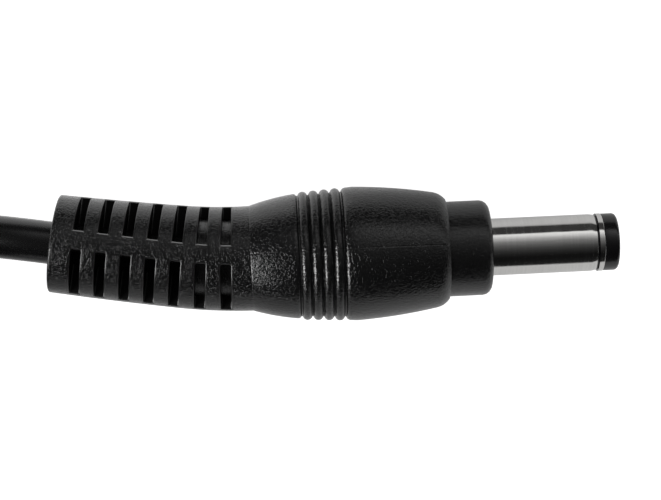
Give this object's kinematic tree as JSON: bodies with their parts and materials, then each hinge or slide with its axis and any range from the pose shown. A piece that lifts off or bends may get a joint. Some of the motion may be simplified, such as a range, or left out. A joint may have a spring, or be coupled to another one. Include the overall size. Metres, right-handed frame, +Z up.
{
  "type": "laptop adapter dc plug with lead",
  "caption": "Output end of a laptop power adapter: moulded coaxial barrel plug with ribbed grip, slotted strain relief boot and a lead tied in a hank.",
  "frame": {"origin": "on the plug's axis, in the plane of the collar's front face", "axes": "+X along the plug's axis towards the barrel's tip, +Z up; the plug and its lead lie on a surface below"},
  "size_m": [0.1493, 0.0403, 0.0264],
  "materials": {
    "nickel": "bright nickel plate with fine turning marks",
    "tip_plastic": "satin black moulding",
    "insulator": "natural white moulding",
    "contact_metal": "sprung bronze, lightly plated",
    "terminal_metal": "tinned brass stamping",
    "solder": "bright solder",
    "copper": "stranded copper",
    "heat_shrink": "red heat shrink",
    "core_plastic": "white insulation",
    "inner_mould_plastic": "black moulding, fine grain",
    "grip_pvc": "black soft moulding with a coarse spark grain",
    "boot_pvc": "black soft moulding with a coarse spark grain",
    "jacket_pvc": "satin black lead jacket",
    "grommet_rubber": "matt black",
    "tie_fabric": "woven black hook and loop strap",
    "tinned_wire": "tinned strands"
  },
  "bodies": {
    "plug": {"barrel_sleeve": "nickel", "tip_ring": "tip_plastic", "contact_liner": "insulator", "inner_contact": "contact_metal", "rear_insulator": "insulator", "positive_terminal": "terminal_metal", "positive_solder": "solder", "negative_terminal": "terminal_metal", "shield_pigtail": "copper", "negative_solder": "solder", "heat_shrink_sleeve": "heat_shrink", "centre_conductor": "copper", "core_insulation": "core_plastic", "spiral_shield": "copper", "lead_jacket": "jacket_pvc", "inner_mould": "inner_mould_plastic", "strain_relief_boot": "boot_pvc", "grip": "grip_pvc"},
    "lead": {"free_lead": "jacket_pvc", "lead_hank": "jacket_pvc", "hank_tie": "tie_fabric", "grommet": "grommet_rubber", "end_core_insulation": "core_plastic", "end_core_tinned": "tinned_wire", "end_shield_sleeve": "jacket_pvc", "end_shield_tinned": "tinned_wire"}
  },
  "joints": [
    {"name": "boot_flex", "type": "hinge", "parent": "plug", "child": "lead", "pos_m": [-0.0324, 0.00085, 0], "axis": [0, 0, 1], "range_deg": [-20.3, 39.7], "stiffness_Nm_per_rad": 0.03, "deforming": ["strain_relief_boot", "lead_jacket", "spiral_shield", "core_insulation", "centre_conductor"]}
  ]
}
